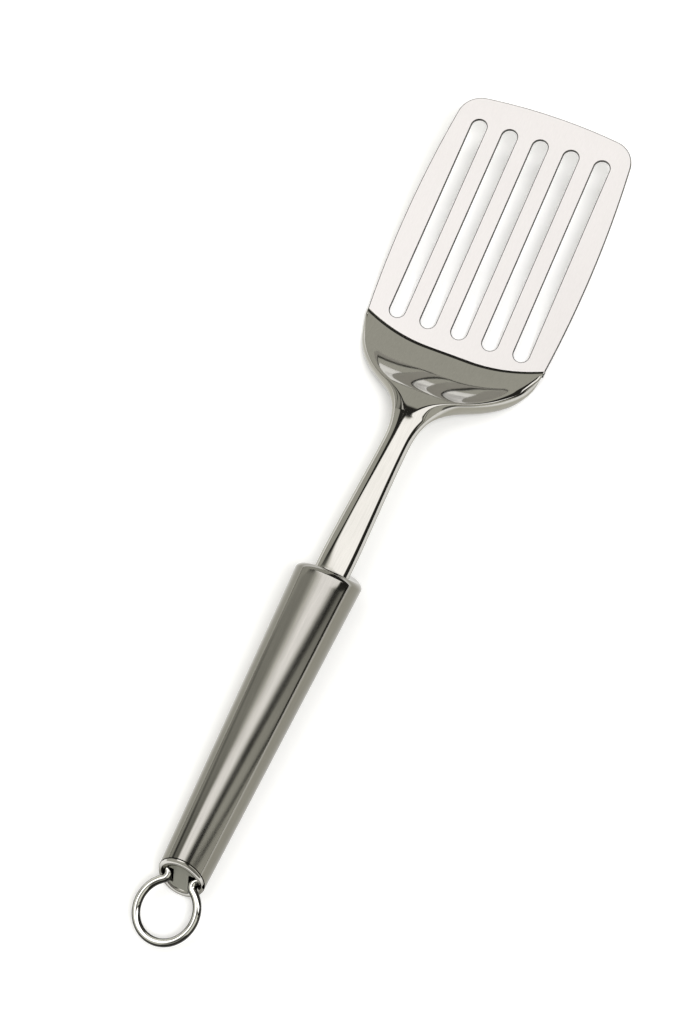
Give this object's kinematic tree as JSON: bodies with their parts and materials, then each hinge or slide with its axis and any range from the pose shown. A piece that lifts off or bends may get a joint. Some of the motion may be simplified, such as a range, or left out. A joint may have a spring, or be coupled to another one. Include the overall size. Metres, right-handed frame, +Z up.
{
  "type": "slotted turner",
  "caption": "All-steel slotted turner with a flat blade, dished shoulder, channel shank, hollow tapered handle and a wire hanging ring that swings in the handle's tail.",
  "frame": {"origin": "under the middle of the turner's box, on the table it lies on", "axes": "+Y towards the blade's tip, +X across the blade, +Z up from the table"},
  "size_m": [0.0718, 0.3298, 0.0234],
  "materials": {
    "blade_steel": "satin on the flat blade, polished on the shoulder and shank",
    "handle_steel": "fine satin, brushed lengthwise",
    "bush_steel": "as turned, hidden inside the handle",
    "collar_steel": "polished",
    "plate_steel": "matt",
    "ring_steel": "polished wire"
  },
  "bodies": {
    "turner": {"slotted_blade": "blade_steel", "handle_shell": "handle_steel", "tang_bush": "bush_steel", "tail_collar": "collar_steel", "end_plate": "plate_steel"},
    "ring": {"hanging_ring": "ring_steel"}
  },
  "joints": [
    {"name": "ring_swing", "type": "hinge", "parent": "turner", "child": "ring", "pos_m": [0, -0.14094, 0.00834], "axis": [-1, 0, 0], "range_deg": [-8, 58]}
  ]
}
